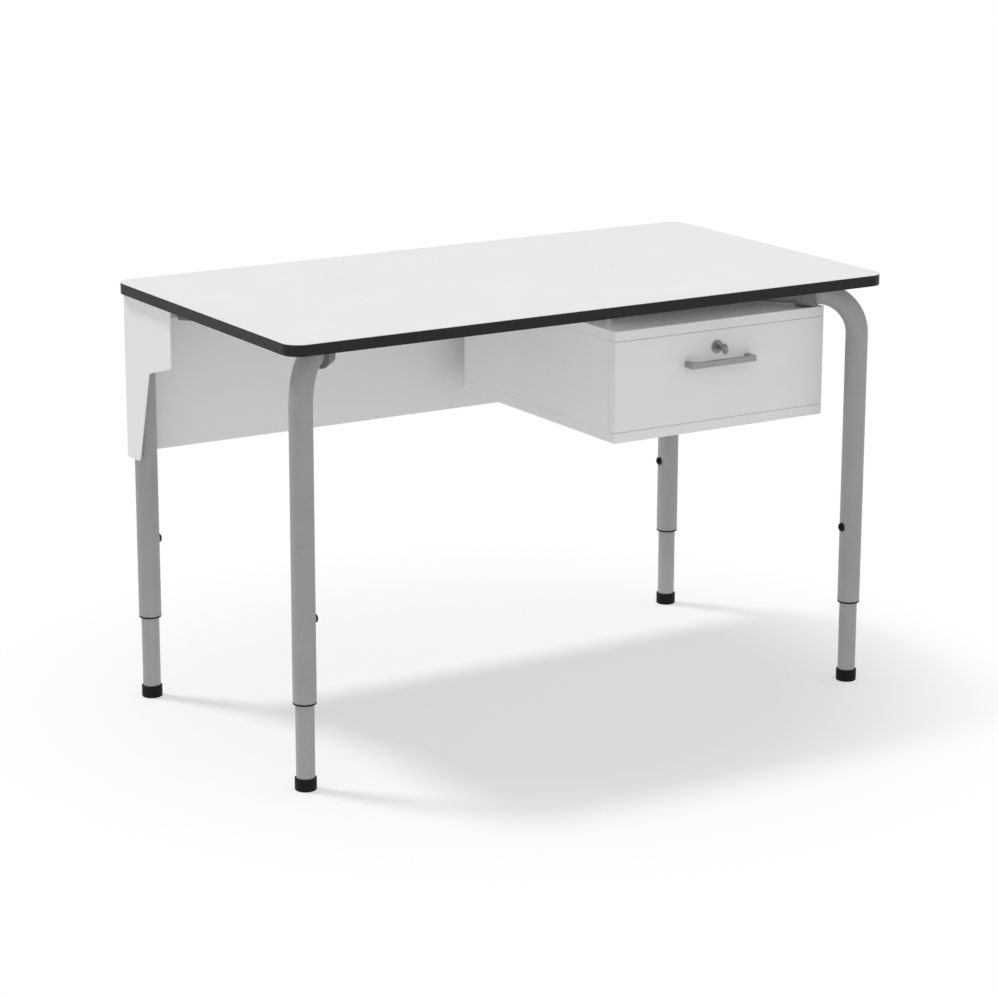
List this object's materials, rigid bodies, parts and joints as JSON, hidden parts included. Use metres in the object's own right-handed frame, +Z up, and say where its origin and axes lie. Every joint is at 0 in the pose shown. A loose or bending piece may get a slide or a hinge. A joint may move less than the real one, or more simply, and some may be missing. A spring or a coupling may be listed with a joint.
{
  "type": "teacher desk",
  "caption": "Height-adjustable classroom desk with a laminate top, bent-tube telescopic legs, a folded modesty panel and a hung lockable drawer.",
  "frame": {"origin": "on the floor under the middle of the desktop", "axes": "+X to the right of the person who sits at the desk, +Y from that person to the modesty panel, +Z up"},
  "size_m": [1.2, 0.65, 0.76],
  "materials": {
    "laminate_white": "satin high-pressure laminate, very fine pearl texture",
    "backing_laminate": "matt backing laminate",
    "particle_core": "raw particle board",
    "edge_black": "satin black edge band with a slightly eased lower edge",
    "frame_grey": "silver-grey powder coat, satin, fine orange peel",
    "inner_tube_grey": "silver-grey powder coat, satin",
    "saddle_grey": "darker grey powder coat",
    "black_plastic": "black moulded plastic",
    "clamp_black": "black oxide steel",
    "panel_white": "white powder coat, satin",
    "melamine_white": "particle board faced with white melamine",
    "hardboard_white": "thin hardboard, white faced",
    "zinc_steel": "bright zinc plate",
    "runner_white": "white epoxy-coated steel",
    "roller_nylon": "natural nylon",
    "dowel_wood": "beech, fluted",
    "handle_metal": "satin nickel",
    "lock_nickel": "satin nickel plate",
    "key_steel": "nickel-plated steel"
  },
  "bodies": {
    "frame": {"desktop_core": "particle_core", "desktop_top_laminate": "laminate_white", "desktop_backing_laminate": "backing_laminate", "desktop_edge_band": "edge_black", "desktop_threaded_inserts": "zinc_steel", "centre_beam": "frame_grey", "beam_end_caps": "black_plastic", "arm_saddles": "saddle_grey", "saddle_screws": "zinc_steel", "beam_screws": "zinc_steel", "leg_guide_sleeves": "black_plastic", "leg_clamp_bosses": "zinc_steel", "leg_clamp_screws": "clamp_black", "modesty_panel": "panel_white", "modesty_panel_screws": "zinc_steel", "cabinet_top": "melamine_white", "cabinet_bottom": "melamine_white", "cabinet_side_left": "melamine_white", "cabinet_side_right": "melamine_white", "cabinet_back": "hardboard_white", "cabinet_confirmat_screws": "zinc_steel", "cabinet_hanger_sleeves": "zinc_steel", "cabinet_hanger_bolts": "zinc_steel", "cabinet_runner_left": "runner_white", "cabinet_runner_right": "runner_white", "cabinet_runner_screws": "zinc_steel", "lock_strike_plate": "zinc_steel", "leg_tube_front_left": "frame_grey", "leg_tube_front_right": "frame_grey", "leg_tube_rear_left": "frame_grey", "leg_tube_rear_right": "frame_grey"},
    "drawer": {"drawer_front": "melamine_white", "drawer_side_left": "melamine_white", "drawer_side_right": "melamine_white", "drawer_back": "melamine_white", "drawer_bottom": "hardboard_white", "drawer_runner_left": "runner_white", "drawer_runner_right": "runner_white", "drawer_runner_screws": "zinc_steel", "drawer_dowels": "dowel_wood", "handle": "handle_metal", "handle_screws": "zinc_steel", "lock_housing": "lock_nickel", "lock_nut": "lock_nickel"},
    "lock_barrel": {"lock_plug": "lock_nickel", "lock_key": "key_steel", "lock_cam": "zinc_steel", "lock_cam_screw": "zinc_steel"},
    "roller_front_left": {"front_roller_left": "roller_nylon"},
    "roller_front_right": {"front_roller_right": "roller_nylon"},
    "roller_rear_left": {"rear_roller_left": "roller_nylon"},
    "roller_rear_right": {"rear_roller_right": "roller_nylon"},
    "foot_front_left": {"inner_leg_front_left": "inner_tube_grey", "foot_cap_front_left": "black_plastic"},
    "foot_front_right": {"inner_leg_front_right": "inner_tube_grey", "foot_cap_front_right": "black_plastic"},
    "foot_rear_left": {"inner_leg_rear_left": "inner_tube_grey", "foot_cap_rear_left": "black_plastic"},
    "foot_rear_right": {"inner_leg_rear_right": "inner_tube_grey", "foot_cap_rear_right": "black_plastic"}
  },
  "joints": [
    {"name": "leg_front_left_slide", "type": "slide", "parent": "frame", "child": "foot_front_left", "axis": [0, 0, 1], "range_m": [-0.06, 0.12]},
    {"name": "leg_front_right_slide", "type": "slide", "parent": "frame", "child": "foot_front_right", "axis": [0, 0, 1], "range_m": [-0.06, 0.12]},
    {"name": "leg_rear_left_slide", "type": "slide", "parent": "frame", "child": "foot_rear_left", "axis": [0, 0, 1], "range_m": [-0.06, 0.12]},
    {"name": "leg_rear_right_slide", "type": "slide", "parent": "frame", "child": "foot_rear_right", "axis": [0, 0, 1], "range_m": [-0.06, 0.12]},
    {"name": "drawer_slide", "type": "slide", "parent": "frame", "child": "drawer", "axis": [0, -1, 0], "range_m": [0, 0.34]},
    {"name": "lock_turn", "type": "hinge", "parent": "drawer", "child": "lock_barrel", "pos_m": [0.2905, -0.244, 0.6475], "axis": [0, -1, 0], "range_deg": [0, 90]},
    {"name": "roller_front_left_spin", "type": "hinge", "parent": "frame", "child": "roller_front_left", "pos_m": [0.0986, -0.208, 0.54676], "axis": [1, 0, 0], "continuous": true},
    {"name": "roller_rear_left_spin", "type": "hinge", "parent": "drawer", "child": "roller_rear_left", "pos_m": [0.0986, 0.195, 0.54626], "axis": [1, 0, 0], "continuous": true},
    {"name": "roller_front_right_spin", "type": "hinge", "parent": "frame", "child": "roller_front_right", "pos_m": [0.5014, -0.208, 0.54676], "axis": [1, 0, 0], "continuous": true},
    {"name": "roller_rear_right_spin", "type": "hinge", "parent": "drawer", "child": "roller_rear_right", "pos_m": [0.5014, 0.195, 0.54626], "axis": [1, 0, 0], "continuous": true}
  ],
  "couplings": [
    {"joint": "roller_front_left_spin", "follows": "drawer_slide", "rad_per_m": 80},
    {"joint": "roller_rear_left_spin", "follows": "drawer_slide", "rad_per_m": 83.333},
    {"joint": "roller_front_right_spin", "follows": "drawer_slide", "rad_per_m": 80},
    {"joint": "roller_rear_right_spin", "follows": "drawer_slide", "rad_per_m": 83.333}
  ]
}
